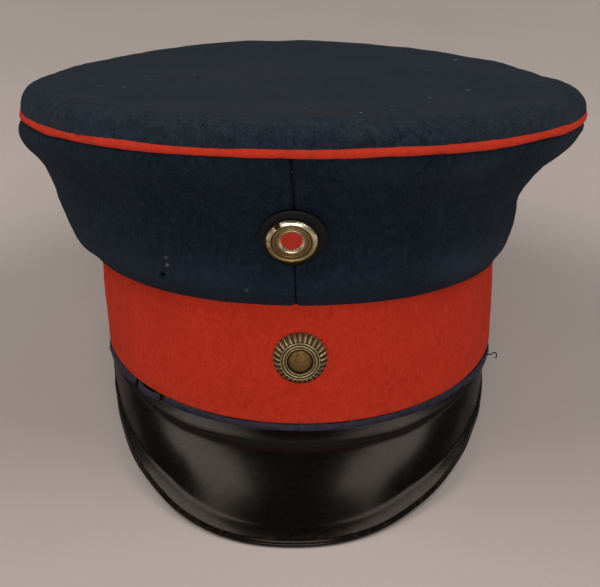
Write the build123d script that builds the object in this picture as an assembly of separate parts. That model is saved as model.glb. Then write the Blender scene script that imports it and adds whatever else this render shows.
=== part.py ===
from build123d import *
import math
import os

# Military peaked cap, built as the pieces it is cut and stamped from.
#
# Everything is first laid out in the band's own frame, in millimetres: X to the wearer's left,
# -Y to the front where the visor is, +Z up, z = 0 on the band's lower edge. The finished pieces
# are then tipped nose up by REST_TILT and shifted, so that the cap stands on Z = 0 on its visor
# tip and the back of its band, with the middle of its box over the origin.

REST_TILT = 8.17          # degrees, nose up, when the empty cap stands on a table
SHIFT_Y = 1.853         # moves the middle of the box over the origin
SHIFT_Z = 14.595        # moves the lowest point to Z = 0

# Band
BAND_HALF_W = 83.8        # half width outside the cloth at the lower edge
BAND_FRONT = -103.0       # front of the cloth
BAND_BACK = 102.7         # back of the cloth
BAND_Y0 = 10.0            # where the oval is widest, a little behind the middle
BAND_H = 46.0
BAND_FLARE = 0.5          # the band opens by this much at its upper edge
CLOTH_T = 1.4
STIFF_T = 1.6
SWEAT_T = 1.0
SWEAT_H = 43.0

# Crown
PANEL_T = 1.6
TOP_T = 1.6
CROWN_SLOPE = 0.103       # the rim rises to the front by this much per mm
PIPING_R = 1.5
PIPING_A = 116.2
PIPING_B = 125.9
PIPING_Z = 97.7

# Visor
VISOR_T = 2.2
VISOR_TIP_Y = -138.5
VISOR_TIP_Z = -34.5
WELT_ARC = 76.0           # half angle that the welt covers

# Cockades
UP_CENTRE = (-3.0, -113.7, 76.8)
UP_TILT = 20.0            # degrees that it looks down
UP_BACKING_R = 12.75
UP_RING_R = 9.6
UP_RED_R = 4.2
LOW_CENTRE = (0.4, -103.0, 26.5)
LOW_R = 10.35
LOW_DOME_R = 4.6
PIN_R = 1.10
WASHER_BORE_R = 1.15
WASHER_R = 7.0
PIN_HOLE_R = 1.45
PRONG_L = 8.0

N = 12


def oval(z0, a, yf, yb, y0=0.0, k=0.0):
    """Closed smooth oval: half width a, from y = yf to y = yb, widest at y0, in the plane z = z0 - k y."""
    pts = []
    for i in range(N):
        t = 2 * math.pi * i / N
        x = a * math.sin(t)
        c = math.cos(t)
        y = y0 + (yf - y0) * c if c > 0 else y0 - (yb - y0) * c
        pts.append(Vector(x, y, z0 - k * y))
    return Wire([Edge.make_spline(pts, periodic=True)])


def loft_of(sections, inset=0.0):
    wires = [oval(z, a - inset, yf + inset, yb - inset, y0, k) for z, a, yf, yb, y0, k in sections]
    return Solid.make_loft(wires, False)


def shell_of(sections, t, inset=0.0):
    return loft_of(sections, inset) - loft_of(sections, inset + t)


def band_section(z, inset):
    f = BAND_FLARE * z / BAND_H
    return (z, BAND_HALF_W + f - inset, BAND_FRONT - f + inset, BAND_BACK + f - inset, BAND_Y0, 0.0)


def one(shape):
    """The shape as a plain solid, or a compound of its solids."""
    s = shape.solids()
    return s[0] if len(s) == 1 else Compound(children=list(s))


def box_of(x0, x1, y0, y1, z0, z1):
    return Pos((x0 + x1) / 2, (y0 + y1) / 2, (z0 + z1) / 2) * Box(x1 - x0, y1 - y0, z1 - z0)


parts = {}

# ---------------------------------------------------------------- cockade axes
up_n = Vector(0, -math.cos(math.radians(UP_TILT)), -math.sin(math.radians(UP_TILT)))
UP = Plane(origin=Vector(*UP_CENTRE), x_dir=(1, 0, 0), z_dir=up_n).location
LOW = Plane(origin=Vector(*LOW_CENTRE), x_dir=(1, 0, 0), z_dir=(0, -1, 0)).location


def disc(r, w0, w1, r_hole=0.0):
    d = Pos(0, 0, (w0 + w1) / 2) * Cylinder(r, w1 - w0)
    if r_hole:
        d = d - Pos(0, 0, (w0 + w1) / 2) * Cylinder(r_hole, w1 - w0 + 2)
    return d


def turned(points):
    """A turned piece: (radius, w) points of its half section about the local Z axis."""
    wire = Wire.make_polygon([Vector(r, 0, w) for r, w in points], close=True)
    return Solid.revolve(Face(wire), 360, Axis.Z)


up_hole = UP * Pos(0, 0, -4) * Cylinder(PIN_HOLE_R, 14)
low_hole = LOW * Pos(0, 0, -4) * Cylinder(PIN_HOLE_R, 9)

# ---------------------------------------------------------------- band
band_outer = [band_section(0, 0), band_section(BAND_H / 2, 0), band_section(BAND_H, 0)]
band_cloth = shell_of(band_outer, CLOTH_T)
parts["band_cloth"] = band_cloth - low_hole

band_stiffener = shell_of([band_section(0.4, 0), band_section(BAND_H / 2, 0), band_section(BAND_H - 0.4, 0)],
                          STIFF_T, CLOTH_T + 0.1)
parts["band_stiffener"] = band_stiffener - low_hole

sweat_lean = [(0.4, 3.3), (7.0, 4.9), (14.0, 6.1), (28.0, 6.7), (SWEAT_H, 6.8)]
parts["sweatband"] = shell_of([band_section(z, w) for z, w in sweat_lean], SWEAT_T)

# ---------------------------------------------------------------- crown side, four panels
side = [
    # z0,   a,     front,   back,  y0,   k
    (34.5, 86.8, -106.0, 105.2, 9.0, 0.060),
    (40.0, 92.3, -108.0, 108.6, 7.0, 0.070),
    (52.0, 97.2, -109.2, 111.0, 4.0, 0.075),
    (64.0, 100.2, -112.0, 113.5, 2.0, 0.075),
    (73.0, 105.0, -115.5, 116.6, 1.0, 0.080),
    (80.5, 109.4, -118.2, 119.0, 0.0, 0.090),
    (87.0, 114.2, -122.4, 122.8, 0.0, 0.098),
    (95.9, 116.0, -125.7, 125.7, 0.0, CROWN_SLOPE),
]
side_outer = loft_of(side)
side_inner = loft_of(side, PANEL_T)
side_wall = side_outer - side_inner
seam_oval = loft_of([band_section(45.0, CLOTH_T), band_section(49.0, CLOTH_T)])
seam_floor = (side_outer & box_of(-150, 150, -150, 150, BAND_H + 0.2, BAND_H + 1.6)) - seam_oval
side_body = (side_wall + seam_floor) - up_hole
quarters = {
    "side_panel_front_left": box_of(0, 150, -160, 0, 0, 140),
    "side_panel_front_right": box_of(-150, 0, -160, 0, 0, 140),
    "side_panel_rear_left": box_of(0, 150, 0, 160, 0, 140),
    "side_panel_rear_right": box_of(-150, 0, 0, 160, 0, 140),
}
for name, cutter in quarters.items():
    parts[name] = side_body & cutter

# stay that holds the front of the crown up
stay_wall = shell_of(side, 1.0, PANEL_T + 0.5) & box_of(-17, 11, -140, -60, 52.0, 104.0)
parts["front_stay"] = stay_wall - up_hole

# ---------------------------------------------------------------- rim
piping_path = oval(PIPING_Z, PIPING_A, -PIPING_B, PIPING_B, 0, CROWN_SLOPE)
piping_plane = Plane(origin=(0, -PIPING_B, PIPING_Z + CROWN_SLOPE * PIPING_B), x_dir=(0, 1, 0), z_dir=(1, 0, 0))
piping = Solid.sweep(Face(Wire.make_circle(PIPING_R, piping_plane)), piping_path)
flange_a = loft_of([(PIPING_Z - 0.25, 115.6, -125.3, 125.3, 0, CROWN_SLOPE), (PIPING_Z + 0.25, 115.6, -125.3, 125.3, 0, CROWN_SLOPE)])
flange_b = loft_of([(PIPING_Z - 0.45, 114.0, -123.7, 123.7, 0, CROWN_SLOPE), (PIPING_Z + 0.45, 114.0, -123.7, 123.7, 0, CROWN_SLOPE)])
parts["crown_piping"] = piping + (flange_a - flange_b)

top = [
    (99.5, 116.4, -126.1, 126.1, 0, CROWN_SLOPE),
    (104.0, 116.6, -126.3, 126.2, 0, 0.100),
    (108.7, 114.8, -124.5, 124.0, 0, 0.090),
    (111.6, 111.4, -121.2, 120.1, 0, 0.080),
    (113.0, 107.6, -117.6, 116.1, 0, 0.0745),
]
top_in = [
    (98.4, 114.8, -124.5, 124.5, 0, CROWN_SLOPE),
    (104.0, 115.0, -124.7, 124.6, 0, 0.100),
    (107.8, 113.2, -123.0, 122.4, 0, 0.090),
    (110.2, 109.8, -119.6, 118.5, 0, 0.080),
    (111.4, 106.2, -116.2, 114.7, 0, 0.0745),
]
parts["crown_top"] = loft_of(top) - loft_of(top_in)


def rim_ring(z0, z1, a0, a1, b0, b1):
    outer = loft_of([(z0, a1, -b1, b1, 0, CROWN_SLOPE), (z1, a1, -b1, b1, 0, CROWN_SLOPE)])
    inner = loft_of([(z0 - 1, a0, -b0, b0, 0, CROWN_SLOPE), (z1 + 1, a0, -b0, b0, 0, CROWN_SLOPE)])
    return outer - inner


parts["crown_hoop"] = rim_ring(94.9, 102.5, 112.5, 113.5, 122.0, 123.0)
parts["rim_padding"] = rim_ring(95.9, 102.0, 105.8, 112.2, 115.2, 121.7)

# ---------------------------------------------------------------- linings
lining = [
    (38.0,) + band_section(38.0, 4.4)[1:5] + (0.0,),
    (46.5,) + band_section(46.5, 4.2)[1:5] + (0.0,),
    (58.0, 86.0, -99.0, 100.5, 5.0, 0.040),
    (70.0, 92.0, -101.0, 104.0, 2.0, 0.075),
    (84.0, 97.6, -105.6, 107.4, 0.0, 0.095),
    (98.4, 101.8, -110.4, 110.9, 0.0, CROWN_SLOPE),
]
parts["side_lining"] = shell_of(lining, 0.5)
parts["crown_lining"] = loft_of([(98.7, 101.7, -110.3, 110.8, 0, CROWN_SLOPE), (99.3, 101.7, -110.3, 110.8, 0, CROWN_SLOPE)])

# ---------------------------------------------------------------- visor
# plan of the free edge, right half, from the middle of the front to the end of the visor
edge_half = [
    # angle on the band, edge x, edge y, edge z
    (0.0, 0.0, VISOR_TIP_Y, VISOR_TIP_Z),
    (10.0, 20.0, -134.8, -34.0),
    (20.0, 36.5, -126.0, -32.2),
    (30.0, 49.5, -113.6, -29.2),
    (40.0, 59.5, -100.2, -25.2),
    (50.0, 67.0, -85.6, -20.6),
    (59.0, 72.3, -68.5, -16.0),
    (67.0, 76.0, -51.5, -12.0),
    (73.0, 79.2, -37.0, -8.6),
    (77.0, 82.6, -26.0, -5.4),
]


def band_point(deg, inset):
    t = math.radians(deg)
    a, bf = BAND_HALF_W - inset, BAND_Y0 - BAND_FRONT - inset
    return a * math.sin(t), BAND_Y0 - bf * math.cos(t)


def visor_polygon(deg, ex, ey, ez):
    """Cross-section from the flange under the band, over the ledge, down the body, to the turned-out lip."""
    s = -1 if deg < 0 else 1
    ax, ay = band_point(deg, 1.7)
    dx, dy = s * ex - ax, ey - ay
    run = math.hypot(dx, dy)
    dx, dy = dx / run, dy / run
    drop = -3.2 - ez
    upper = [(0.0, -0.35), (0.0, -3.4)]
    ledge = min(4.5, 0.25 * run)
    steep = (drop - 0.0) / max(run - ledge, 1e-6)
    upper.append((ledge, -3.4 - 0.12 * ledge))
    for q in (0.35, 0.62, 0.84):
        r = ledge + (run - ledge) * q
        bulge = 0.22 * min(run, 34.0) * q * (1 - q)
        upper.append((r + 0.6 * bulge * min(1.0, run / 20), -3.4 - 0.12 * ledge + (ez + 3.4 + 0.12 * ledge) * q + 0.6 * bulge))
    upper.append((run, ez + 0.9))
    ang = math.atan2(max(drop, 0.5), max(run - ledge, 0.5))
    t = VISOR_T * min(1.0, max(0.45, run / 14))
    ux, uz = -math.sin(ang) * t, -math.cos(ang) * t
    lower = [(run - 0.1 * t, ez)]
    for r, z in reversed(upper[3:6]):
        lower.append((r + ux, z + uz))
    lower.append((ledge - 0.75 * t, -3.4 - t))
    lower.append((-min(1.9, t), -3.4 - 0.9 * t))
    lower.append((-min(1.9, t), -0.35))
    return Wire.make_polygon([Vector(ax + dx * r, ay + dy * r, z) for r, z in upper + lower], close=True)


stations = [(-d, x, y, z) for d, x, y, z in reversed(edge_half[1:])] + edge_half
visor_shell = Solid.make_loft([visor_polygon(*s) for s in stations], False)
parts["visor_shell"] = visor_shell


def lining_polygon(deg, ex, ey, ez):
    """Thin cloth under the body of the visor, a little below the shell's underside."""
    s = -1 if deg < 0 else 1
    ax, ay = band_point(deg, 1.7)
    dx, dy = s * ex - ax, ey - ay
    run = math.hypot(dx, dy)
    dx, dy = dx / run, dy / run
    drop = -3.2 - ez
    ledge = min(4.5, 0.25 * run)
    ang = math.atan2(max(drop, 0.5), max(run - ledge, 0.5))
    t = VISOR_T * min(1.0, max(0.45, run / 14))
    pts = []
    for q in (0.22, 0.35, 0.62, 0.80):
        r = ledge + (run - ledge) * q
        bulge = 0.22 * min(run, 34.0) * q * (1 - q)
        pts.append((r + 0.6 * bulge * min(1.0, run / 20), -3.4 - 0.12 * ledge + (ez + 3.4 + 0.12 * ledge) * q + 0.6 * bulge))
    g0, g1 = t + 0.35, t + 0.95
    up = [(r - math.sin(ang) * g0, z - math.cos(ang) * g0) for r, z in pts]
    dn = [(r - math.sin(ang) * g1, z - math.cos(ang) * g1) for r, z in reversed(pts)]
    return Wire.make_polygon([Vector(ax + dx * r, ay + dy * r, z) for r, z in up + dn], close=True)


inner_stations = [s for s in stations if abs(s[0]) <= 60]
parts["visor_lining"] = Solid.make_loft([lining_polygon(*s) for s in inner_stations], False)

# welt that covers the seam between visor and band
welt_ring = shell_of([band_section(-3.1, 0.0), band_section(-1.6, -0.15), band_section(-0.2, 0.0)], 1.45)
welt_cut_y = band_point(WELT_ARC, 0)[1]
parts["visor_welt"] = welt_ring & box_of(-120, 120, -140, welt_cut_y, -10, 10)

# ---------------------------------------------------------------- upper cockade
parts["upper_cockade_backing"] = UP * turned([(1.25, 0.6), (12.2, 0.6), (UP_BACKING_R, 0.9), (UP_BACKING_R, 1.2), (12.2, 1.5), (1.25, 1.5)])
parts["upper_cockade_ring"] = UP * turned([(4.3, 1.6), (9.3, 1.6), (UP_RING_R, 2.0), (9.2, 2.9), (8.0, 3.8), (6.6, 4.2), (5.2, 4.0), (4.3, 3.2)])
parts["upper_cockade_centre"] = UP * turned([(0.0, 1.6), (UP_RED_R, 1.6), (UP_RED_R, 2.7), (3.4, 3.1), (1.8, 3.35), (0.0, 3.4)])


def split_pin(w_top, w_washer_back):
    """Neck through the cloth, slit up the middle, with both prongs folded flat behind the washer."""
    w0, w1 = w_washer_back - 0.9, w_washer_back - 0.3
    pin = disc(PIN_R, w0, w_top)
    pin = pin + Pos(0, 0, (w0 + w1) / 2) * Box(2 * PRONG_L, 1.8, w1 - w0)
    slit = Pos(0, 0, (w0 - 1 + w_top - 2.2) / 2) * Box(0.3, 6, (w_top - 2.2) - (w0 - 1))
    return pin - slit


parts["upper_cockade_pin"] = UP * split_pin(1.6, -4.4)
parts["upper_cockade_washer"] = UP * disc(WASHER_R, -4.4, -3.6, WASHER_BORE_R)

# ---------------------------------------------------------------- lower cockade
parts["lower_cockade_ring"] = LOW * turned([(LOW_DOME_R + 0.1, 0.6), (9.9, 0.6), (LOW_R, 0.9), (LOW_R, 1.4), (9.6, 2.8), (8.2, 4.5), (7.5, 5.1), (6.0, 5.3), (LOW_DOME_R + 0.1, 4.9)])
parts["lower_cockade_centre"] = LOW * turned([(0.0, 0.9), (LOW_DOME_R, 0.9), (LOW_DOME_R, 4.5), (3.7, 4.8), (2.2, 5.0), (0.0, 5.1)])
parts["lower_cockade_pin"] = LOW * split_pin(0.9, -4.4)
parts["lower_cockade_washer"] = LOW * disc(WASHER_R, -4.4, -3.6, WASHER_BORE_R)

# ---------------------------------------------------------------- stand the cap on the table
REST = Pos(0, SHIFT_Y, SHIFT_Z) * Rot(-REST_TILT, 0, 0)

os.makedirs("parts", exist_ok=True)
low, high = [1e9] * 3, [-1e9] * 3
for name, shape in parts.items():
    placed = one(REST * one(shape))
    export_step(placed, "parts/" + name + ".step")
    bb = placed.bounding_box()
    print(name, len(placed.solids()), round(placed.volume, 1), [round(v, 2) for v in (*bb.min, *bb.max)])
    low = [min(a, b) for a, b in zip(low, tuple(bb.min))]
    high = [max(a, b) for a, b in zip(high, tuple(bb.max))]
print("box", [round(v, 3) for v in low], [round(v, 3) for v in high])
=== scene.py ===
import math
import bmesh
import bpy
import numpy as np
from mathutils import Matrix


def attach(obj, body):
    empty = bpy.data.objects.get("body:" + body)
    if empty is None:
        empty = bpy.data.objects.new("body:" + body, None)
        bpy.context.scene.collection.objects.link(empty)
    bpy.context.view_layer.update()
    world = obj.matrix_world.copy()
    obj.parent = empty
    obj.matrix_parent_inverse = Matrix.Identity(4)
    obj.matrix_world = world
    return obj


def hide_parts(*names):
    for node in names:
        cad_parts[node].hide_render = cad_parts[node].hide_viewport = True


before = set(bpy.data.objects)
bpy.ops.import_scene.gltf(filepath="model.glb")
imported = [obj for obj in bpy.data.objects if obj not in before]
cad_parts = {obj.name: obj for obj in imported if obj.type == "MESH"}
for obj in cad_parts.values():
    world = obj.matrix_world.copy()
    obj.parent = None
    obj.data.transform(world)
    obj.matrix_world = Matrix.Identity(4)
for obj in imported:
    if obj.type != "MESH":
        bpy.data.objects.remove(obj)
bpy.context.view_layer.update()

# ------------------------------------------------------------------ frames
# Shapes are laid out in the band's own frame in millimetres: x to the wearer's left, -y front,
# z up from the band's lower edge. row() tips them nose up onto the table, in metres.
TILT = math.radians(8.17)
SHIFT_Y, SHIFT_Z = 1.853, 14.595
CT, ST = math.cos(TILT), math.sin(TILT)


def row(P):
    P = np.asarray(P, dtype=float)
    out = np.empty_like(P)
    out[..., 0] = P[..., 0]
    out[..., 1] = P[..., 1] * CT + P[..., 2] * ST + SHIFT_Y
    out[..., 2] = P[..., 2] * CT - P[..., 1] * ST + SHIFT_Z
    return out / 1000.0


def row_dir(v):
    x, y, z = v
    return np.array([x, y * CT + z * ST, z * CT - y * ST])


# ------------------------------------------------------------------ camera
cam_data = bpy.data.cameras.new("camera")
cam = bpy.data.objects.new("camera", cam_data)
bpy.context.scene.collection.objects.link(cam)
cam_data.sensor_fit = "HORIZONTAL"
cam_data.sensor_width = 36.0
cam_data.lens = 1597.4 * 36.0 / 600.0
cam_data.clip_start, cam_data.clip_end = 0.05, 20
fwd = np.array([0.0, 0.94255, -0.33406])
right0 = np.array([1.0, 0, 0])
up0 = np.cross(right0, fwd)
roll = math.radians(0.5)
right = math.cos(roll) * right0 + math.sin(roll) * up0
up = -math.sin(roll) * right0 + math.cos(roll) * up0
m = Matrix.Identity(4)
for col, vec in enumerate((row_dir(right), row_dir(up), -row_dir(fwd), row([0.147, -659.8, 249.15]))):
    for k in range(3):
        m[k][col] = float(vec[k])
cam.matrix_world = m
bpy.context.scene.camera = cam
bpy.context.scene.view_settings.view_transform = "Standard"
bpy.context.scene.view_settings.look = "None"

# ------------------------------------------------------------------ small maths


def cubic(xs, ys, q):
    """Natural cubic spline through (xs, ys) at q."""
    xs, ys, q = np.asarray(xs, float), np.asarray(ys, float), np.asarray(q, float)
    n = len(xs)
    h = np.diff(xs)
    A = np.eye(n)
    b = np.zeros(n)
    for i in range(1, n - 1):
        A[i, i - 1], A[i, i], A[i, i + 1] = h[i - 1], 2 * (h[i - 1] + h[i]), h[i]
        b[i] = 6 * ((ys[i + 1] - ys[i]) / h[i] - (ys[i] - ys[i - 1]) / h[i - 1])
    M = np.linalg.solve(A, b)
    k = np.clip(np.searchsorted(xs, q) - 1, 0, n - 2)
    d0, d1 = q - xs[k], xs[k + 1] - q
    return (M[k] * d1**3 + M[k + 1] * d0**3) / (6 * h[k]) + (ys[k] / h[k] - M[k] * h[k] / 6) * d1 + (ys[k + 1] / h[k] - M[k + 1] * h[k] / 6) * d0


def waves(P, size, seed, n=16):
    """Smooth noise of about +-1 made of plane waves, features about size mm across."""
    rng = np.random.default_rng(seed)
    out = np.zeros(P.shape[:-1])
    for _ in range(n):
        d = rng.normal(size=3)
        d *= (2 * math.pi / size) * rng.uniform(0.5, 1.4) / np.linalg.norm(d)
        out += np.sin(P @ d + rng.uniform(0, 2 * math.pi))
    return out / math.sqrt(n) * 1.2


def bump_at(u, v, u0, v0, ru, rv, turn=0.0):
    c, s = math.cos(turn), math.sin(turn)
    a, b = (u - u0) / ru, (v - v0) / rv
    return np.exp(-((a * c + b * s) ** 2 + (b * c - a * s) ** 2))


def normals_of(P, wrap_u=False):
    du = np.gradient(P, axis=0)
    if wrap_u:
        du = (np.roll(P, -1, 0) - np.roll(P, 1, 0)) / 2
    dv = np.gradient(P, axis=1)
    n = np.cross(du, dv)
    return n / np.maximum(np.linalg.norm(n, axis=-1, keepdims=True), 1e-12)


# ------------------------------------------------------------------ meshes


def mesh_piece(name, verts, faces, smooth=True):
    me = bpy.data.meshes.new(name)
    me.from_pydata([tuple(map(float, v)) for v in verts], [], faces)
    me.validate()
    me.update()
    if smooth:
        me.polygons.foreach_set("use_smooth", np.ones(len(me.polygons), dtype=bool))
    ob = bpy.data.objects.new(name, me)
    bpy.context.scene.collection.objects.link(ob)
    return ob


def grid_faces(nu, nv, wrap_u=False, wrap_v=False, base=0):
    iu = np.arange(nu if wrap_u else nu - 1)
    iv = np.arange(nv if wrap_v else nv - 1)
    U, V = np.meshgrid(iu, iv, indexing="ij")
    U2, V2 = (U + 1) % nu, (V + 1) % nv
    return np.stack([U * nv + V, U2 * nv + V, U2 * nv + V2, U * nv + V2], -1).reshape(-1, 4) + base


def grid_piece(name, P, wrap_u=False, wrap_v=False, caps=False, flip=False, attrs=None, more=None):
    """P is (nu, nv, 3) in band-frame mm. caps closes the two ends of a tube with a fan."""
    nu, nv = P.shape[:2]
    verts = row(P.reshape(-1, 3))
    faces = grid_faces(nu, nv, wrap_u, wrap_v)
    if flip:
        faces = faces[:, ::-1]
    faces = faces.tolist()
    if caps and wrap_v and not wrap_u:
        a = list(range(nv))
        b = [(nu - 1) * nv + k for k in range(nv)]
        faces += [a[::-1] if not flip else a, b if not flip else b[::-1]]
        faces[-2] = faces[-2][::-1]
        faces[-1] = faces[-1][::-1]
    ob = mesh_piece(name, verts, faces)
    for key, val in (attrs or {}).items():
        at = ob.data.attributes.new(key, "FLOAT", "POINT")
        at.data.foreach_set("value", np.asarray(val, dtype=np.float32).reshape(-1))
    return ob


def shell_piece(name, P, t, wrap_u=False, attrs=None, flip_in=False, fan=False):
    """Cloth with thickness: P is its outer face, t how thick (mm, a number or one value per grid point). fan closes the far end over the middle."""
    nu, nv = P.shape[:2]
    n = normals_of(P, wrap_u)
    if fan:
        n[:, -3:] = n[:, -4].mean(axis=0)
        n /= np.linalg.norm(n, axis=-1, keepdims=True)
    t = np.broadcast_to(np.asarray(t, float), P.shape[:2])
    Q = P + n * t[..., None] * (1 if flip_in else -1)
    outer = P.reshape(-1, 3)
    inner = Q.reshape(-1, 3)
    faces = grid_faces(nu, nv, wrap_u)
    both = [faces, grid_faces(nu, nv, wrap_u, base=nu * nv)[:, ::-1]]
    iu = np.arange(nu if wrap_u else nu - 1)
    i2 = (iu + 1) % nu
    b = nu * nv
    both.append(np.stack([iu * nv, b + iu * nv, b + i2 * nv, i2 * nv], -1))
    if not fan:
        both.append(np.stack([i2 * nv + nv - 1, b + i2 * nv + nv - 1, b + iu * nv + nv - 1, iu * nv + nv - 1], -1))
    if not wrap_u:
        j = np.arange(nv - 1)
        both.append(np.stack([j + 1, b + j + 1, b + j, j], -1))
        e = (nu - 1) * nv
        both.append(np.stack([e + j, b + e + j, b + e + j + 1, e + j + 1], -1))
    faces = np.concatenate(both)
    verts = np.concatenate([outer, inner])
    faces = faces.tolist()
    if fan:
        c0, c1 = len(verts), len(verts) + 1
        verts = np.concatenate([verts, [P[:, -1].mean(0), Q[:, -1].mean(0)]])
        faces += [[i * nv + nv - 1, ((i + 1) % nu) * nv + nv - 1, c0] for i in range(nu)]
        faces += [[b + ((i + 1) % nu) * nv + nv - 1, b + i * nv + nv - 1, c1] for i in range(nu)]
    if flip_in:
        faces = [f[::-1] for f in faces]
    ob = mesh_piece(name, row(verts), faces)
    for key, val in (attrs or {}).items():
        v = np.asarray(val, dtype=np.float32).reshape(-1)
        mid_ = np.full(2, np.asarray(val)[:, -1].mean(), np.float32)
        v = np.concatenate([v, v, mid_]) if fan else np.concatenate([v, v])
        at = ob.data.attributes.new(key, "FLOAT", "POINT")
        at.data.foreach_set("value", v)
    return ob


# ------------------------------------------------------------------ materials


class Mat:
    def __init__(self, name):
        self.m = bpy.data.materials.new(name)
        self.m.use_nodes = True
        self.t = self.m.node_tree
        self.t.nodes.clear()
        self.out = self.n("ShaderNodeOutputMaterial")
        self.b = self.n("ShaderNodeBsdfPrincipled")
        self.l(self.b, "BSDF", self.out, "Surface")
        tc = self.n("ShaderNodeTexCoord")
        mp = self.n("ShaderNodeMapping")
        mp.inputs["Scale"].default_value = (1000, 1000, 1000)
        self.l(tc, "Object", mp, "Vector")
        self.mm = mp

    def n(self, kind, **props):
        nd = self.t.nodes.new(kind)
        for k, v in props.items():
            setattr(nd, k, v)
        return nd

    def l(self, a, ao, b, bi):
        self.t.links.new(a.outputs[ao], b.inputs[bi])

    def put(self, **vals):
        names = {"rough": "Roughness", "metal": "Metallic", "spec": "Specular IOR Level", "coat": "Coat Weight", "coat_rough": "Coat Roughness",
                 "sheen": "Sheen Weight", "sheen_rough": "Sheen Roughness", "sheen_tint": "Sheen Tint", "ior": "IOR", "color": "Base Color"}
        for k, v in vals.items():
            self.b.inputs[names[k]].default_value = v

    def noise(self, scale, detail=4.0, rough=0.55, stretch=None, distort=0.0):
        nd = self.n("ShaderNodeTexNoise")
        nd.inputs["Scale"].default_value = scale
        nd.inputs["Detail"].default_value = detail
        nd.inputs["Roughness"].default_value = rough
        nd.inputs["Distortion"].default_value = distort
        if stretch:
            mp = self.n("ShaderNodeMapping")
            mp.inputs["Scale"].default_value = stretch
            self.l(self.mm, "Vector", mp, "Vector")
            self.l(mp, "Vector", nd, "Vector")
        else:
            self.l(self.mm, "Vector", nd, "Vector")
        return nd, "Fac"

    def voronoi(self, scale, feature="F1"):
        nd = self.n("ShaderNodeTexVoronoi", feature=feature)
        nd.inputs["Scale"].default_value = scale
        self.l(self.mm, "Vector", nd, "Vector")
        return nd, "Distance"

    def attr(self, name):
        nd = self.n("ShaderNodeAttribute", attribute_name=name)
        return nd, "Fac"

    def ramp(self, src, stops):
        nd = self.n("ShaderNodeValToRGB")
        el = nd.color_ramp.elements
        while len(el) < len(stops):
            el.new(0.5)
        for e, (p, c) in zip(el, stops):
            e.position = p
            e.color = (c, c, c, 1) if isinstance(c, (int, float)) else (*c, 1)
        self.t.links.new(src[0].outputs[src[1]], nd.inputs["Fac"])
        return nd, "Color"

    def mix(self, fac, a, b, mode="MIX"):
        nd = self.n("ShaderNodeMix", data_type="RGBA", blend_type=mode)
        for socket, val in ((0, fac), (6, a), (7, b)):
            if isinstance(val, tuple) and len(val) == 2 and hasattr(val[0], "outputs"):
                self.t.links.new(val[0].outputs[val[1]], nd.inputs[socket])
            elif socket == 0:
                nd.inputs[0].default_value = val
            else:
                nd.inputs[socket].default_value = (*val, 1) if len(val) == 3 else val
        return nd, 2

    def math(self, op, a, b=0.0, clamp=False):
        nd = self.n("ShaderNodeMath", operation=op, use_clamp=clamp)
        for i, val in enumerate((a, b)):
            if isinstance(val, tuple):
                self.t.links.new(val[0].outputs[val[1]], nd.inputs[i])
            else:
                nd.inputs[i].default_value = val
        return nd, 0

    def to(self, src, socket):
        self.t.links.new(src[0].outputs[src[1]], self.b.inputs[socket])

    def bump(self, layers):
        """layers: (source, strength, distance in mm) from the coarsest to the finest."""
        last = None
        for src, strength, dist in layers:
            nd = self.n("ShaderNodeBump")
            nd.inputs["Strength"].default_value = strength
            nd.inputs["Distance"].default_value = dist / 1000.0
            self.t.links.new(src[0].outputs[src[1]], nd.inputs["Height"])
            if last:
                self.l(last, "Normal", nd, "Normal")
            last = nd
        self.l(last, "Normal", self.b, "Normal")


def wool(name, dark, mid, light, worn, nap=1.0, sheen=0.25, sheen_tint=(0.6, 0.7, 0.9, 1), bump=1.0, patch=0.5, grey=(0.03, 0.035, 0.04)):
    """Milled wool cloth: short matted nap lying downwards, cloudy rubbing, threadbare places where "wear" says."""
    M = Mat(name)
    fine = M.noise(1.15 * nap, 6.0, 0.72, distort=0.6)
    fibre = M.noise(0.75 * nap, 5.0, 0.68, stretch=(1.3, 1.3, 0.34), distort=0.9)
    clump = M.noise(0.30 * nap, 5.0, 0.62)
    cloud = M.noise(0.035, 3.0, 0.5)
    a = M.ramp(fine, [(0.40, dark), (0.50, mid), (0.61, light)])
    b = M.ramp(fibre, [(0.38, dark), (0.51, mid), (0.64, light)])
    c = M.ramp(clump, [(0.36, dark), (0.51, mid), (0.68, light)])
    col = M.mix(0.5, a, b)
    col = M.mix(0.33, col, c)
    k = M.ramp(cloud, [(0.30, 0.80), (0.70, 1.20)])
    col = M.mix(patch, col, k, "MULTIPLY")
    wear = M.attr("wear")
    spots = M.ramp(M.noise(0.45, 6.0, 0.75, distort=1.5), [(0.46, 0.0), (0.58, 1.0)])
    col = M.mix(M.math("MULTIPLY", wear, spots, True), col, worn)
    pits = M.ramp(M.noise(0.62, 5.0, 0.7, distort=1.0), [(0.36, 1.0), (0.44, 0.0)])
    col = M.mix(M.math("MULTIPLY", wear, pits, True), col, tuple(x * 0.35 for x in dark))
    # paler grey mixed in by this mask: real dust on the crown top, plus painted light, a painted sheen on the top and
    # painted lit bulges and edges on the side cloth
    g2 = M.ramp(M.noise(0.8, 6.0, 0.75), [(0.35, tuple(x * 0.75 for x in grey)), (0.65, tuple(x * 1.25 for x in grey))])
    col = M.mix(M.attr("dust_and_painted_light"), col, g2)
    # near-black where this mask says: real dirt spots, dark seam lines, and painted shade inside the moth hole
    col = M.mix(M.attr("soil_and_painted_shade"), col, tuple(x * 0.12 for x in dark))
    col = M.mix(M.attr("lint"), col, (0.34, 0.34, 0.31))
    M.to(col, "Base Color")
    M.put(rough=0.95, spec=0.06, sheen=sheen, sheen_rough=0.5, sheen_tint=sheen_tint)
    M.bump([(clump, 0.5 * bump, 0.9), (fibre, 0.6 * bump, 0.55), (fine, 0.6 * bump, 0.40)])
    return M.m


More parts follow.
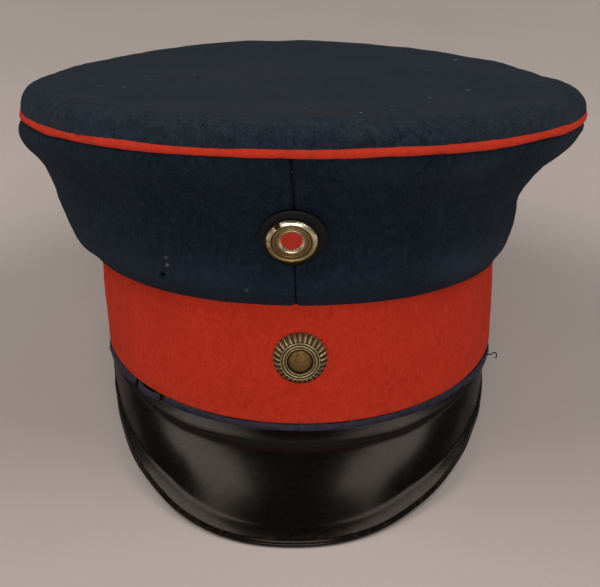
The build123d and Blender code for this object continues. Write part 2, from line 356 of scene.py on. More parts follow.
def leather(name, dark, mid, rough=0.5, grain=0.5, bump=0.4, spec=0.4):
    M = Mat(name)
    v = M.voronoi(grain)
    v2 = M.voronoi(grain * 2.7)
    cloud = M.noise(0.05, 5.0, 0.6)
    col = M.mix((cloud[0], cloud[1]), dark, mid)
    crease = M.noise(0.12, 6.0, 0.7, stretch=(1, 1, 3.0), distort=2.0)
    col = M.mix(M.ramp(crease, [(0.42, 1.0), (0.5, 0.0)]), col, tuple(x * 0.55 for x in dark))
    M.to(col, "Base Color")
    M.to(M.ramp(cloud, [(0.3, rough * 0.85), (0.7, min(1.0, rough * 1.15))]), "Roughness")
    M.put(spec=spec)
    M.bump([(v, bump, 0.15), (v2, bump * 0.7, 0.08), (crease, bump, 0.2)])
    return M.m


def patent(name):
    """Lacquered leather: black under a soft gloss, faint grain in the highlights, fine rubs and a little dust."""
    M = Mat(name)
    peel = M.noise(0.12, 2.0, 0.4)
    grain = M.noise(1.3, 4.0, 0.6)
    cloud = M.noise(0.03, 4.0, 0.6)
    rub = M.noise(0.5, 8.0, 0.75, stretch=(0.25, 1.0, 1.0), distort=0.5)
    speck = M.ramp(M.noise(0.9, 2.0, 0.5), [(0.765, 0.0), (0.785, 1.0)])
    base = M.mix(M.ramp(cloud, [(0.35, 0.0), (0.75, 1.0)]), (0.0009, 0.0008, 0.0008), (0.0020, 0.0017, 0.0016))
    base = M.mix(M.math("MULTIPLY", speck, 0.5), base, (0.10, 0.09, 0.08))
    edge = M.attr("edge")
    base = M.mix(M.math("MULTIPLY", edge, M.ramp(M.noise(0.35, 6.0, 0.7), [(0.48, 0.0), (0.62, 0.5)]), True), base, (0.022, 0.015, 0.011))
    M.to(base, "Base Color")
    M.to(M.math("ADD", M.ramp(rub, [(0.40, 0.235), (0.62, 0.31)]), M.math("MULTIPLY", M.attr("crease"), 0.55), True), "Roughness")
    M.put(spec=0.17, coat=0.02, coat_rough=0.16)
    M.b.inputs["Specular Tint"].default_value = (1.0, 0.84, 0.70, 1.0)
    M.bump([(peel, 0.06, 0.25), (grain, 0.22, 0.10)])
    return M.m


def metal(name, base, deep, rough=0.35, tarnish=0.5, scratches=0.25, bright=None):
    """Stamped metal: bright where it is rubbed and, on the gilt ring's upper side, where a highlight is painted on
    ("polish"), brown in the hollows ("hollow").
    """
    M = Mat(name)
    hollow = M.attr("hollow")
    grime = M.noise(0.9, 6.0, 0.7, distort=0.8)
    blotch = M.noise(0.28, 5.0, 0.65, distort=1.0)
    g = M.ramp(grime, [(0.38, 0.0), (0.66, 1.0)])
    h = M.math("ADD", hollow, M.math("MULTIPLY", g, tarnish), True)
    col = M.mix(h, base, deep)
    col = M.mix(M.ramp(blotch, [(0.40, 0.0), (0.70, 0.55)]), col, tuple(x * 0.62 for x in base))
    r = M.ramp(h, [(0.0, rough), (1.0, min(1.0, rough + 0.35))])
    if bright:
        p = M.math("MULTIPLY", M.attr("polish_and_highlight"), M.ramp(grime, [(0.40, 1.0), (0.72, 0.35)]), True)
        col = M.mix(p, col, bright)
        r = M.math("SUBTRACT", r, M.math("MULTIPLY", p, rough * 0.45), True)
    M.to(col, "Base Color")
    M.put(metal=0.95, spec=0.5)
    M.to(r, "Roughness")
    M.bump([(blotch, 0.25, 0.15), (grime, scratches, 0.08)])
    return M.m


def lacquer(name, col, deep, rough=0.4, bump=0.3, spec=0.4):
    M = Mat(name)
    n = M.noise(0.9, 6.0, 0.7)
    c = M.noise(0.25, 4.0, 0.6)
    chip = M.ramp(M.noise(1.3, 5.0, 0.7), [(0.66, 0.0), (0.70, 1.0)])
    k = M.mix(M.ramp(n, [(0.35, 0.0), (0.65, 1.0)]), col, deep)
    k = M.mix(M.math("MULTIPLY", chip, 0.5), k, (0.10, 0.08, 0.06))
    M.to(k, "Base Color")
    M.to(M.ramp(c, [(0.3, rough * 0.8), (0.7, min(1, rough * 1.3))]), "Roughness")
    M.put(spec=spec)
    M.bump([(c, bump, 0.15), (n, bump, 0.07)])
    return M.m


def plain_cloth(name, dark, mid, weave=1.2, rough=0.85, sheen=0.1):
    """Woven lining: two sets of threads and cloudy ageing."""
    M = Mat(name)
    w1 = M.n("ShaderNodeTexWave", wave_type="BANDS", bands_direction="DIAGONAL")
    w1.inputs["Scale"].default_value = weave
    w1.inputs["Distortion"].default_value = 0.6
    w1.inputs["Detail"].default_value = 2.0
    M.l(M.mm, "Vector", w1, "Vector")
    w2 = M.n("ShaderNodeTexWave", wave_type="BANDS", bands_direction="X")
    w2.inputs["Scale"].default_value = weave
    w2.inputs["Distortion"].default_value = 0.6
    M.l(M.mm, "Vector", w2, "Vector")
    cloud = M.noise(0.04, 5.0, 0.6)
    k = M.mix(M.ramp(cloud, [(0.3, 0.0), (0.7, 1.0)]), dark, mid)
    k = M.mix(M.math("MULTIPLY", (w1, "Fac"), 0.25), k, tuple(x * 0.6 for x in dark))
    M.to(k, "Base Color")
    M.put(rough=rough, spec=0.2, sheen=sheen, sheen_rough=0.5)
    M.bump([((w1, "Fac"), 0.3, 0.12), ((w2, "Fac"), 0.25, 0.12), (cloud, 0.3, 0.8)])
    return M.m


mat_side = wool("crown_side_wool", (0.0022, 0.0042, 0.0078), (0.0060, 0.0102, 0.0172), (0.0150, 0.0235, 0.0370), (0.020, 0.021, 0.023), sheen=0.02, grey=(0.0150, 0.0228, 0.0350), bump=1.3)
# the crown top cloth is coloured lighter and greyer than the side cloth; part of that is painted sheen and light for
# the upward-facing top
mat_top = wool("crown_top_wool", (0.0050, 0.0080, 0.0130), (0.0125, 0.0190, 0.0285), (0.0270, 0.0380, 0.0530), (0.028, 0.029, 0.029), sheen=0.03, grey=(0.0185, 0.0230, 0.0290), bump=1.3)
mat_band = wool("band_wool", (0.33, 0.0175, 0.0070), (0.43, 0.0260, 0.0105), (0.52, 0.0370, 0.0155), (0.31, 0.048, 0.027), nap=1.3, sheen=0.02,
                sheen_tint=(1.0, 0.45, 0.35, 1), bump=0.45, patch=0.3, grey=(0.4, 0.05, 0.03))
mat_piping = wool("piping_wool", (0.36, 0.022, 0.010), (0.46, 0.031, 0.014), (0.56, 0.044, 0.020), (0.22, 0.03, 0.02), nap=1.6, sheen=0.02,
                  sheen_tint=(1.0, 0.5, 0.4, 1), bump=0.45, patch=0.3, grey=(0.4, 0.05, 0.03))
mat_visor = patent("patent_leather")
mat_welt = leather("welt_leather", (0.0125, 0.0115, 0.0225), (0.0250, 0.0225, 0.0420), rough=0.65, grain=0.9, bump=0.3, spec=0.2)
mat_under = leather("visor_under_leather", (0.030, 0.038, 0.024), (0.045, 0.055, 0.036), rough=0.7, grain=0.7, bump=0.4, spec=0.25)
mat_sweat = leather("sweatband_leather", (0.11, 0.048, 0.020), (0.20, 0.100, 0.048), rough=0.5, grain=0.45, bump=0.35)
mat_lining = plain_cloth("lining_twill", (0.11, 0.085, 0.055), (0.19, 0.15, 0.10))
mat_buckram = plain_cloth("buckram", (0.26, 0.21, 0.14), (0.36, 0.31, 0.22), weave=0.6)
mat_wadding = plain_cloth("wadding", (0.34, 0.31, 0.26), (0.50, 0.46, 0.40), weave=0.3, rough=1.0, sheen=0.5)
mat_thread = plain_cloth("thread", (0.008, 0.008, 0.012), (0.016, 0.016, 0.022), weave=3.0)
mat_thread_light = plain_cloth("sweatband_thread", (0.24, 0.18, 0.10), (0.36, 0.28, 0.17), weave=3.0)
# the bright gilt comes in where the ring is rubbed, plus a painted highlight along its upper side
mat_ring = metal("pale_gilt", (0.29, 0.190, 0.062), (0.050, 0.029, 0.009), rough=0.28, tarnish=0.35, bright=(0.97, 0.87, 0.64))
mat_red = lacquer("red_lacquer", (0.40, 0.020, 0.008), (0.32, 0.016, 0.007), rough=0.7, bump=0.15, spec=0.25)
mat_black = lacquer("black_lacquer", (0.0022, 0.0024, 0.0024), (0.0045, 0.0042, 0.0038), rough=0.5, bump=0.3, spec=0.14)
mat_bronze = metal("bronzed_brass", (0.250, 0.175, 0.082), (0.036, 0.023, 0.009), rough=0.34, tarnish=0.45, bright=(0.72, 0.56, 0.34))
mat_dome = metal("bronzed_dome", (0.150, 0.088, 0.030), (0.055, 0.033, 0.011), rough=0.45, tarnish=0.6)
mat_pin = metal("pin_brass", (0.60, 0.45, 0.20), (0.20, 0.13, 0.05), rough=0.4)
mat_steel = metal("spring_steel", (0.42, 0.41, 0.40), (0.12, 0.08, 0.05), rough=0.4)

# ------------------------------------------------------------------ the oval rings

BAND = dict(a=84.0, yf=-103.0, yb=102.7, y0=10.0)


def ring(phi, aL, aR, yf, yb, y0):
    """x, y of an oval at phi (0 at the front, + towards x > 0)."""
    s, c = np.sin(phi), np.cos(phi)
    a = np.where(s > 0, aR, aL)
    x = a * s
    y = np.where(c > 0, y0 + (yf - y0) * c, y0 - (yb - y0) * c)
    return x, y


BAND_LEAN = 1.3              # the band's upper edge stands this far to x < 0


def band_ring(phi, off):
    return ring(phi, BAND["a"] + off, BAND["a"] + off, BAND["yf"] - off, BAND["yb"] + off, BAND["y0"])


RIM_A, RIM_B, RIM_K = 116.0, 125.7, 0.1035
PIPING_Z = 97.74
ROLL = 0.0065                # the crown sits a little crooked: its x > 0 side is higher
LEAN = 0.85                  # and a little to that side


def rim_ring(phi, off=0.0, up=0.0):
    """The crown's rim oval, moved out by off and up by up."""
    x = RIM_A * np.sin(phi)
    y = -RIM_B * np.cos(phi)
    nx, ny = np.sin(phi) / RIM_A, -np.cos(phi) / RIM_B
    nn = np.hypot(nx, ny)
    x, y = x + nx / nn * off, y + ny / nn * off
    return np.stack([x + LEAN, y, PIPING_Z - RIM_K * y + ROLL * x + up], -1)


def soft_front(c):
    """Height of the crown cloth's lowest line over the band, by cos(phi)."""
    return np.where(c >= 0,
                    cubic([0, 0.12, 0.25, 0.45, 0.65, 0.85, 1.0], [31.0, 34.0, 37.2, 40.8, 43.6, 45.7, 47.6], np.clip(c, 0, 1)),
                    cubic([-1.0, -0.7, -0.4, -0.15, 0.0], [41.0, 39.0, 35.5, 32.2, 31.0], np.clip(c, -1, 0)))


S_LR = np.linspace(0, 1, 41)
X_L = [85.9, 86.7, 88.0, 89.6, 91.2, 92.7, 93.9, 95.0, 96.0, 96.8, 97.6, 98.4, 99.0, 99.5, 99.9, 100.4, 100.9, 101.4, 102.0, 102.5, 102.9, 103.4, 104.0, 104.6, 105.2, 105.8, 106.4, 107.0, 107.7, 108.6, 109.5, 110.6, 111.9, 113.4, 114.7, 115.8, 116.7, 117.3, 117.6, 117.3, 116.0]
X_R = [85.4, 86.1, 86.8, 87.7, 88.7, 89.7, 90.5, 91.1, 91.6, 91.9, 92.2, 92.5, 92.7, 92.8, 93.0, 93.1, 93.1, 92.9, 92.9, 93.0, 93.3, 93.9, 94.6, 95.6, 96.7, 97.8, 98.9, 100.1, 101.3, 102.4, 103.6, 105.2, 107.3, 109.5, 111.5, 113.0, 114.1, 115.1, 116.0, 116.3, 116.0]
S_F = [0, .03, .10, .25, .40, .55, .70, .83, .92, .97, 1.0]
Y_F = [104.7, 107.0, 109.8, 111.2, 112.3, 114.9, 118.9, 122.9, 125.4, 126.1, 125.6]
S_B = [0, .05, .15, .30, .45, .60, .72, .82, .91, .97, 1.0]
Y_B = [104.6, 107.0, 109.8, 112.0, 113.6, 116.0, 119.4, 122.8, 125.4, 126.2, 125.6]


def side_surface(phi, s):
    """Outer face of the crown's side. phi (nu, nv), s (nu, nv) from the fold over the band to the piping."""
    xl = cubic(S_LR, X_L, s)
    xr = cubic(S_LR, X_R, s)
    base = 0.45 * xl + 0.55 * xr
    deg = np.degrees(phi)
    wl = np.exp(-(((deg + 80) / 48.0) ** 2))
    wr = np.exp(-(((deg - 84) / 40.0) ** 2))
    aL = base + (xl - base) * wl
    aR = base + (xr - base) * wr
    yf = -cubic(S_F, Y_F, s)
    yb = cubic(S_B, Y_B, s)
    y0 = 9.0 * (1 - s) ** 1.5
    x, y = ring(phi, aL, aR, yf, yb, y0)
    low = soft_front(np.cos(phi))
    top = PIPING_Z - 1.5 + RIM_K * RIM_B * np.cos(phi) + ROLL * x
    z = low + s * (top - low)
    P = np.stack([x + LEAN * s - BAND_LEAN * (1 - s), y, z], -1)
    # the hang of the cloth: hollows beside the upper cockade, soft bulges low down
    d = np.zeros_like(s)
    d += 1.6 * bump_at(deg, s, -40, 0.20, 17, 0.15, 0.25)
    d += 1.9 * bump_at(deg, s, 43, 0.20, 15, 0.16, -0.35)
    d -= 1.5 * bump_at(deg, s, -17, 0.34, 9, 0.16)
    d -= 1.9 * bump_at(deg, s, 19, 0.34, 10, 0.17, -0.3)
    d -= 1.3 * bump_at(deg, s, -36, 0.60, 22, 0.13)
    d -= 1.0 * bump_at(deg, s, 30, 0.66, 26, 0.11)
    d += 0.8 * bump_at(deg, s, -20, 0.86, 30, 0.06)
    d += 0.7 * bump_at(deg, s, 28, 0.88, 30, 0.05)
    d -= 1.4 * bump_at(deg, s, 62, 0.42, 10, 0.20, -0.5)
    d += 1.0 * bump_at(deg, s, 2, 0.12, 12, 0.10)
    d += 1.2 * bump_at(deg, s, 128, 0.25, 18, 0.2) - 1.4 * bump_at(deg, s, 150, 0.55, 20, 0.16)
    d += 1.3 * bump_at(deg, s, -132, 0.25, 20, 0.2) - 1.2 * bump_at(deg, s, -158, 0.50, 18, 0.16)
    live = np.clip(s / 0.10, 0, 1) * np.clip((1 - s) / 0.08, 0, 1)
    d += 0.45 * waves(P, 48, 5) + 0.22 * waves(P, 21, 6)
    d *= live
    d += 0.16 * waves(P, 26, 7) * np.clip(1 - s / 0.12, 0, 1)
    n = normals_of(P)
    return P + n * d[..., None]


def seam_line(s):
    """How far the front seam stands off the middle, in mm."""
    return np.polyval(np.polyfit([0.0, 0.3, 0.7, 1.0], [0.1, -1.25, -2.6, -4.1], 3), s)


def quarter(name, phi0, phi1, node):
    step = [-0.22, 0.0, 0.14, 0.28, 0.44, 0.62, 0.85, 1.2, 1.65, 2.2]
    span = abs(phi1 - phi0) * 105.0
    body = np.linspace(3.0, span - 3.0, 175)
    dist = np.concatenate([step, body, span - np.array(step[::-1])])
    phi = phi0 + (phi1 - phi0) * dist / span
    if phi1 < phi0:
        phi = phi[::-1]
        dist = dist[::-1]
    s_out = np.concatenate([[0.004], np.linspace(0.012, 0.985, 96), [0.993, 1.0]])
    U, S = np.meshgrid(phi, s_out, indexing="ij")
    warp = seam_line(S) / 108.0 * np.exp(-((U / 0.30) ** 2))
    P = side_surface(U + warp, S)
    # fold under at the band, hidden behind the outer face, and turned in at the piping
    low = soft_front(np.cos(phi))
    rows = []
    for off, dz in ((0.35, 6.0), (0.40, 2.6), (0.55, 1.05), (1.05, 0.28), (1.75, 0.0)):
        x, y = band_ring(phi + warp[:, 0], off)
        rows.append(np.stack([x - BAND_LEAN, y, low + dz], -1))
    P[:, 0] = 0.5 * P[:, 0] + 0.5 * rows[-1]
    tail = []
    for inset, dz in ((1.1, 0.15), (2.6, 0.1)):
        tail.append(rim_ring(phi + warp[:, -1], -inset, -1.1 + dz))
    P = np.concatenate([np.stack(rows, 1), P, np.stack(tail, 1)], 1)
    # seam valley: the edges turn in, with a soft shoulder either side
    d = np.maximum(np.minimum(dist, span - dist), 0.0)
    n = normals_of(P)
    sink = 1.0 * np.exp(-((d / 0.60) ** 1.6)) + 0.30 * np.exp(-((d / 1.9) ** 2)) - 0.12 * np.exp(-(((d - 3.4) / 1.4) ** 2))
    fade = np.ones(P.shape[1])
    fade[:4] = 0.2
    P = P - n * (sink[:, None] * fade[None])[..., None]
    # pressed flat under the upper cockade
    ax_ = np.array([0, -math.cos(math.radians(20)), -math.sin(math.radians(20))])
    rel = P - np.array([-3.0, -113.7, 76.8])
    up_w = rel @ ax_
    far = np.linalg.norm(rel - up_w[..., None] * ax_, axis=-1)
    over = up_w - (0.30 + 0.05 * np.clip(far - 12.3, 0, None) ** 2)
    P = P - ax_ * (np.clip(over, 0, None) * (far < 26) * (np.abs(up_w) < 12))[..., None]
    in_seam = np.exp(-((d / 0.55) ** 2))
    # marks
    wear = np.zeros(P.shape[:2])
    soil_and_painted_shade = np.broadcast_to(0.85 * in_seam[:, None], wear.shape).copy()
    lint = np.zeros_like(wear)
    dust_and_painted_light = np.zeros_like(wear)
    for (x, y, z), r, amp in MARKS_WEAR:
        wear += amp * np.exp(-((np.linalg.norm(P - np.array([x, y, z]), axis=-1) / r) ** 2))
    # a moth hole, drawn as a dent with a near-black patch: the patch is painted shade standing in for the dark inside
    # of the hole
    for (x, y, z), r, amp in MARKS_HOLE:
        q = np.linalg.norm((P - np.array([x, y, z])) * [1, 0.6, 1], axis=-1) / r
        soil_and_painted_shade = np.maximum(soil_and_painted_shade, amp * np.clip(1.6 - q, 0, 1))
        P = P - n * (1.1 * np.exp(-(q**4)))[..., None]
    for (x, y, z), r, amp in MARKS_LINT:
        q = np.linalg.norm((P - np.array([x, y, z])) * [1, 0.15, 1], axis=-1) / r
        lint = np.maximum(lint, amp * np.exp(-(q**2)))
    # painted light: a paler band painted over the low bulge of the side cloth, stronger midway between the front, the
    # sides and the back and on the x > 0 side, and a fainter band just under the piping, where the lamps light the
    # cloth
    up_ = np.linspace(0, 1, P.shape[1])[None]
    turn = np.asarray(phi)[:, None]
    dust_and_painted_light = 0.62 * np.exp(-(((up_ - 0.20) / 0.11) ** 2)) * (0.55 + 0.45 * np.sin(turn * 2.0 - 0.15) ** 2) * (0.8 + 0.4 * waves(P, 45, 91)) + 0.22 * np.exp(-(((up_ - 0.88) / 0.08) ** 2)) * (0.6 + 0.4 * waves(P, 30, 92))
    dust_and_painted_light = dust_and_painted_light * (1.0 + 0.35 * np.clip(np.sin(turn), -0.4, 1))
    dust_and_painted_light = np.clip(dust_and_painted_light, 0, 0.9)
    t_ = np.full(P.shape[:2], 1.25)
    t_[:, :6] = 0.75
    ob = shell_piece(name, P, t_, attrs={"wear": np.clip(wear, 0, 1), "soil_and_painted_shade": np.clip(soil_and_painted_shade, 0, 1), "lint": lint, "dust_and_painted_light": dust_and_painted_light})
    ob.data.materials.append(mat_side)
    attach(ob, "cap")
    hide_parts(node)
    return ob


MARKS_WEAR = [((60, -100, 102), 9, 0.8), ((-104, -40, 92), 12, 0.5), ((100, -55, 96), 14, 0.7), ((-30, -125, 106), 12, 0.35), ((12, -127, 107), 10, 0.3)]
MARKS_HOLE = [((-51.3, -93.5, 55.6), 1.15, 1.0)]
MARKS_LINT = [((-49.4, -95.5, 63.2), 0.34, 0.9), ((-49.4, -94.8, 60.4), 0.38, 1.0), ((-19.5, -108.6, 55.0), 0.34, 0.6)]

panels = [
    quarter("side_front_left", 0.0, math.pi / 2, "side_panel_front_left"),
    quarter("side_front_right", 0.0, -math.pi / 2, "side_panel_front_right"),
    quarter("side_rear_left", math.pi, math.pi / 2, "side_panel_rear_left"),
    quarter("side_rear_right", -math.pi, -math.pi / 2, "side_panel_rear_right"),
]

# ------------------------------------------------------------------ piping

nu, nv = 900, 16
phi = np.linspace(0, 2 * math.pi, nu, endpoint=False)
C = rim_ring(phi)
out = np.stack([np.sin(phi) / RIM_A, -np.cos(phi) / RIM_B, 0 * phi], -1)
out /= np.linalg.norm(out, axis=1, keepdims=True)
upv = np.array([0, RIM_K, 1.0]) / math.hypot(1, RIM_K)
lump = 1 + 0.035 * waves(C, 14, 21) + 0.02 * waves(C, 5, 22)
C = C + upv * (0.16 * waves(C, 40, 23))[:, None] + out * (0.12 * waves(C, 30, 24))[:, None]
C = C + upv * (0.32 + 0.9 * np.abs(np.sin(phi)) ** 5)[:, None]
t = np.linspace(0, 2 * math.pi, nv, endpoint=False)
P = C[:, None] + (out[:, None] * np.cos(t)[None, :, None] * 1.45 + upv * np.sin(t)[None, :, None] * 1.92) * lump[:, None, None]
soil_and_painted_shade = np.clip(0.9 * np.exp(-((waves(P, 9, 25) - 2.3) / 0.35) ** 2), 0, 0.5)
wear = np.clip((waves(P, 16, 26) - 1.1) * 0.8, 0, 0.6)
piping = grid_piece("rim_piping", P, wrap_u=True, wrap_v=True, attrs={"wear": wear, "soil_and_painted_shade": soil_and_painted_shade, "lint": 0 * wear, "dust_and_painted_light": 0 * wear})
piping.data.materials.append(mat_piping)
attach(piping, "cap")
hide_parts("crown_piping")

# ------------------------------------------------------------------ crown top

# turn of the cloth over the rim (v 0 to 0.45), then the plate, drawn in to the middle
RIM_H_SIDE, RIM_H_FRONT, RIM_H_BACK = 10.5, 10.6, 18.0
RIM_IN, RIM_BULGE, PLATE_ROLL = 9.7, 0.35, -0.0094
nu = 720
phi = np.linspace(0, 2 * math.pi, nu, endpoint=False)
tt = np.concatenate([np.linspace(-0.05, 0.45, 76), 0.45 + 0.55 * np.linspace(0, 1, 80)[1:] ** 0.92])
tt[-1] = 0.9975
U, V = np.meshgrid(phi, tt, indexing="ij")
C1 = np.cos(U)
H = np.where(C1 > 0, RIM_H_SIDE + (RIM_H_FRONT - RIM_H_SIDE) * C1**2, RIM_H_SIDE + (RIM_H_BACK - RIM_H_SIDE) * C1**2)
w_ = np.clip(V / 0.45, 0, 1)
th = w_ * math.pi / 2
off = 0.8 + RIM_BULGE * np.sin(np.pi * np.clip(w_ / 0.7, 0, 1)) - RIM_IN * (1 - np.cos(th)) ** 1.2 - 3.5 * np.clip(-V / 0.05, 0, 1)
rise = 1.2 + H * np.sin(th) ** 0.94 + 0.6 * np.clip(-V / 0.05, 0, 1)
P = rim_ring(U, off, rise)
P[..., 2] += PLATE_ROLL * P[..., 0] * np.sin(th)
P[..., 0] -= 0.5 * w_
j45 = 75
edge = P[:, j45].copy()
R_in = 1 - np.clip((V - 0.45) / 0.55, 0, 1)
mid_z = 111.2
lin = PIPING_Z + 1.2 + 13.7
for j in range(j45 + 1, P.shape[1]):
    q_ = R_in[0, j]
    P[:, j, :2] = edge[:, :2] * q_
    plane = lin - 0.0735 * edge[:, 1]
    rest_ = edge[:, 2] - plane
    sink_ = -2.3 * (1 - np.exp(-((1 - q_) / 0.10) ** 1.5)) * (0.4 + 0.6 * q_)
    P[:, j, 2] = lin - 0.0735 * P[:, j, 1] + rest_ * q_**2.2 + sink_
n = normals_of(P, wrap_u=True)
n[:, -3:] = [0, 0, 1]
live = np.clip((V - 0.02) / 0.12, 0, 1) * np.clip((1 - V) / 0.15, 0, 1)
d = 0.28 * waves(P, 60, 31) + 0.10 * waves(P, 24, 32) + 0.06 * waves(P, 11, 33)
rimmy = np.exp(-(((V - 0.33) / 0.13) ** 2))
d += rimmy * (0.16 * waves(P, 26, 34) + 0.06 * waves(P, 8, 35))
P = P + n * (d * live)[..., None]
wear = 0.7 * rimmy * np.clip(0.30 + 0.55 * waves(P, 30, 36), 0, 0.75)
for (x0, y0_, z0_), r, amp in [((21, -124, 119.0), 5.5, 1.0), ((84, -87, 114), 9, 1.0), ((101, -60, 110), 14, 0.8), ((68, -101, 115), 8, 0.6), ((-93, -74, 111), 14, 0.5), ((-40, -117, 118), 10, 0.4)]:
    wear += amp * np.exp(-((np.linalg.norm((P - np.array([x0, y0_, z0_])) * [1, 1, 2.0], axis=-1) / r) ** 2))
# partly real dust, partly painted light: the plate is painted greyer for the sheen it shows under the lamps, and a
# paler ring just inside the rim is a painted highlight on the ridge
dust_and_painted_light = np.clip(np.clip((V - 0.40) / 0.12, 0, 1) * (0.55 + 0.20 * waves(P, 60, 37)) + 0.35 * np.exp(-(((V - 0.46) / 0.05) ** 2)), 0, 1)
rng = np.random.default_rng(77)
lint = np.zeros(V.shape)
for _ in range(26):
    q = rng.uniform(0, 2 * math.pi)
    r = 112 * math.sqrt(rng.uniform(0.02, 1))
    lx, ly = r * math.sin(q), -r * math.cos(q) * 1.07
    size = rng.uniform(0.30, 0.55)
    lint = np.maximum(lint, rng.uniform(0.3, 0.8) * np.exp(-((np.hypot(P[..., 0] - lx, (P[..., 1] - ly)) / size) ** 2)) * (V > 0.4))
soil_and_painted_shade = 0 * lint
top = shell_piece("crown_cloth_top", P, 1.35, wrap_u=True, fan=True, attrs={"wear": np.clip(wear, 0, 1), "soil_and_painted_shade": soil_and_painted_shade, "lint": lint, "dust_and_painted_light": dust_and_painted_light})
top.data.materials.append(mat_top)
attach(top, "cap")
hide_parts("crown_top")

# ------------------------------------------------------------------ band cloth

nu = 760
phi = np.linspace(0, 2 * math.pi, nu, endpoint=False)
prof = [(-1.35, 0.9), (-1.30, 0.25), (-0.75, -0.12), (-0.15, 0.05), (0.0, 0.5)] + [(0.0 + 0.5 * math.sin(math.pi * q), 0.5 + 48.6 * q) for q in np.linspace(0.02, 1, 60)]
offs = np.array([p[0] for p in prof])
zz = np.array([p[1] for p in prof])
U, O = np.meshgrid(phi, offs, indexing="ij")
Z = np.broadcast_to(zz, U.shape)
x, y = band_ring(U, O + 0.30 * Z / 46)
P = np.stack([x - BAND_LEAN * Z / 46, y, Z - 0.9 * np.clip(np.cos(U) * 1.6 - 0.4, 0, 1) * np.clip(1 - Z / 16, 0, 1)], -1)
P[..., 0] -= 0.5 * np.clip(x / 84, 0, 1) ** 2 * np.clip(Z / 46, 0, 1)
n = normals_of(P, wrap_u=True)
live = np.clip((Z - 0.3) / 3.0, 0, 1) * np.clip((50 - Z) / 4, 0, 1)
d = 0.22 * waves(P, 60, 41) + 0.12 * waves(P, 22, 42) + 0.05 * waves(P, 8, 43)
P = P + n * (d * live)[..., None]
wear = np.clip(0.45 * np.exp(-((Z - 1.0) / 2.2) ** 2) * (0.6 + 0.5 * waves(P, 18, 44)), 0, 1)
soil_and_painted_shade = np.zeros(U.shape)
for (sx, sy, sz), r, amp in [((-21, -100.5, 5.4), 1.3, 0.45), ((-43, -87.5, 24), 0.7, 0.30), ((34, -94.5, 12), 0.8, 0.25), ((55, -76, 33), 0.8, 0.22), ((-62, -66, 30), 1.0, 0.2)]:
    soil_and_painted_shade = np.maximum(soil_and_painted_shade, amp * np.exp(-((np.linalg.norm(P - np.array([sx, sy, sz]), axis=-1) / r) ** 2)))
band = shell_piece("band_red_cloth", P, 1.2, wrap_u=True, attrs={"wear": wear, "soil_and_painted_shade": soil_and_painted_shade, "lint": 0 * soil_and_painted_shade, "dust_and_painted_light": 0 * soil_and_painted_shade})
band.data.materials.append(mat_band)
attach(band, "cap")
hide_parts("band_cloth")

# ------------------------------------------------------------------ visor

EDGE = np.array([
    # y and z of the free edge, then its x on the one side and on the other
    (-21.0, -3.0, -79.9, 79.5), (-27.1, -4.3, -78.9, 78.0), (-32.1, -5.9, -78.4, 77.5), (-36.3, -7.8, -77.6, 77.2), (-40.6, -9.7, -77.2, 76.9), (-49.9, -13.0, -75.5, 75.5),
    (-59.7, -15.9, -73.7, 73.6), (-69.7, -18.5, -71.1, 70.5), (-79.8, -20.9, -68.2, 67.2), (-89.8, -23.2, -64.5, 62.7), (-99.6, -25.3, -59.6, 57.6), (-108.7, -27.7, -53.9, 51.4),
    (-117.5, -30.0, -47.3, 43.6), (-126.3, -32.1, -38.1, 34.0), (-135.3, -33.9, -22.6, 18.2)])
eh = np.array([(e[2], e[0], e[1]) for e in EDGE] + [(-3.0, -138.6, -34.5)] + [(e[3], e[0], e[1]) for e in EDGE[::-1]])   # from x < 0 round to x > 0
seg = np.concatenate([[0], np.cumsum(np.linalg.norm(np.diff(eh, axis=0), axis=1))])
NU = 300
q = np.linspace(0, seg[-1], NU)
E = np.stack([cubic(seg, eh[:, j], q) for j in range(3)], -1)
mid = seg[-1] / 2
att = (q - mid) / mid                                                   # -1 .. 1
phi_att = np.radians(74.0) * np.sign(att) * (0.90 * np.abs(att) + 0.10 * np.abs(att) ** 3)
ax, ay = band_ring(phi_att, -0.6)
A = np.stack([ax, ay, np.full(NU, -3.0)], -1)
D = E - A
run = np.hypot(D[:, 0], D[:, 1])
D2 = D[:, :2] / run[:, None]
k = np.clip(run / 34.0, 0.12, 1.0)
lip = np.minimum(6.2, 0.24 * run)
thick = 2.1 * np.clip(run / 9.0, 0.45, 1.0)
ez = E[:, 2] + thick * 0.92
rows_r, rows_z = [], []


def put(r, z):
    rows_r.append(r)
    rows_z.append(z)


one = np.ones(NU)
put(-0.5 * one, 2.4 * one - 3.0)
put(-0.3 * one, -1.6 * one)
put(0.0 * one, -3.1 * one)
led = np.minimum(4.4, 0.19 * run)
zl = -3.2 - 0.74 * led
for qq in (0.15, 0.40, 0.70):
    put(led * qq, -3.2 + (zl + 3.2) * qq + 0.10 * np.sin(np.pi * qq) * k)
root_r = run - lip
root_z = ez + 0.66 * lip + 0.35 * k
BULGE = 1.9
for qq in [0, 0.012, 0.025, 0.04, 0.055, 0.075, 0.10, 0.13] + list(np.linspace(0.17, 1, 25)):
    r = led + (root_r - led) * qq
    z = zl + (root_z - zl) * qq
    bulge = BULGE * k * np.sin(np.pi * qq ** 1.08) - 0.80 * k * np.exp(-(((qq - 0.062) / 0.042) ** 2)) * (qq > 0)
    ang = np.arctan2(zl - root_z, root_r - led)
    put(r + bulge * np.sin(ang), z + bulge * np.cos(ang))
